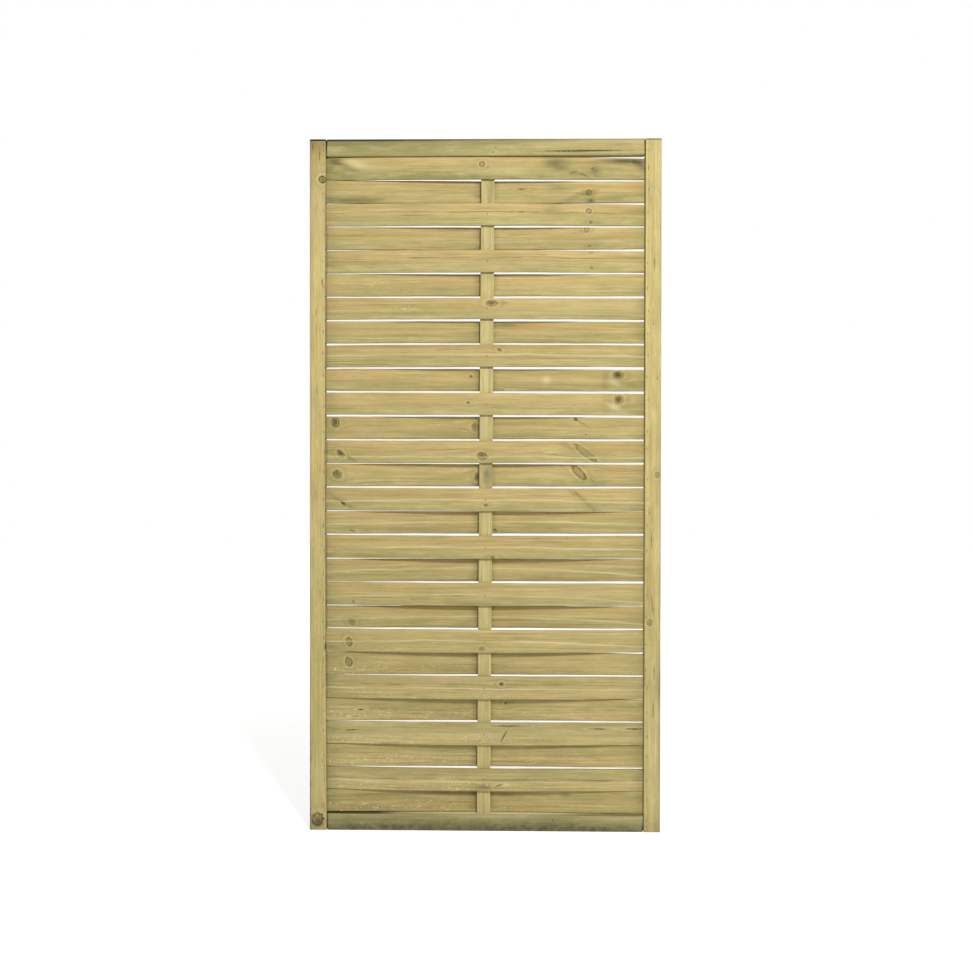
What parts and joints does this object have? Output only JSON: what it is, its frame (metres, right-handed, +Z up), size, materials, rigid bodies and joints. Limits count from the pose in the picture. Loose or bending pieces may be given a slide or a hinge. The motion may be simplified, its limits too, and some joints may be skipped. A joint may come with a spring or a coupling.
{
  "type": "fence panel",
  "caption": "Upright timber fence panel: a grooved frame of stiles and rails, with thin bowed slats woven in front of and behind a centre batten, to be fixed between posts.",
  "frame": {"origin": "middle of the panel's underside, at mid depth", "axes": "+Z up along the stiles, +X to the right as seen from the front, and the front faces -Y"},
  "size_m": [0.913, 0.028, 1.8],
  "materials": {
    "frame_timber": "sawn softwood, pressure treated, greenish tan, with mildew low down",
    "slat_timber": "fine-sawn softwood, pressure treated, greenish tan with knots and stains",
    "batten_timber": "sawn softwood, pressure treated, greenish tan",
    "staple_steel": "steel wire, darkened by weather"
  },
  "bodies": {
    "root": {"batten_staples": "staple_steel", "bottom_rail": "frame_timber", "centre_batten": "batten_timber", "left_stile": "frame_timber", "right_stile": "frame_timber", "slat_01": "slat_timber", "slat_02": "slat_timber", "slat_03": "slat_timber", "slat_04": "slat_timber", "slat_05": "slat_timber", "slat_06": "slat_timber", "slat_07": "slat_timber", "slat_08": "slat_timber", "slat_09": "slat_timber", "slat_10": "slat_timber", "slat_11": "slat_timber", "slat_12": "slat_timber", "slat_13": "slat_timber", "slat_14": "slat_timber", "slat_15": "slat_timber", "slat_16": "slat_timber", "slat_17": "slat_timber", "slat_18": "slat_timber", "slat_19": "slat_timber", "slat_20": "slat_timber", "slat_21": "slat_timber", "slat_22": "slat_timber", "slat_23": "slat_timber", "slat_24": "slat_timber", "slat_25": "slat_timber", "slat_26": "slat_timber", "slat_27": "slat_timber", "slat_28": "slat_timber", "tenon_staples": "staple_steel", "top_rail": "frame_timber"}
  },
  "joints": []
}
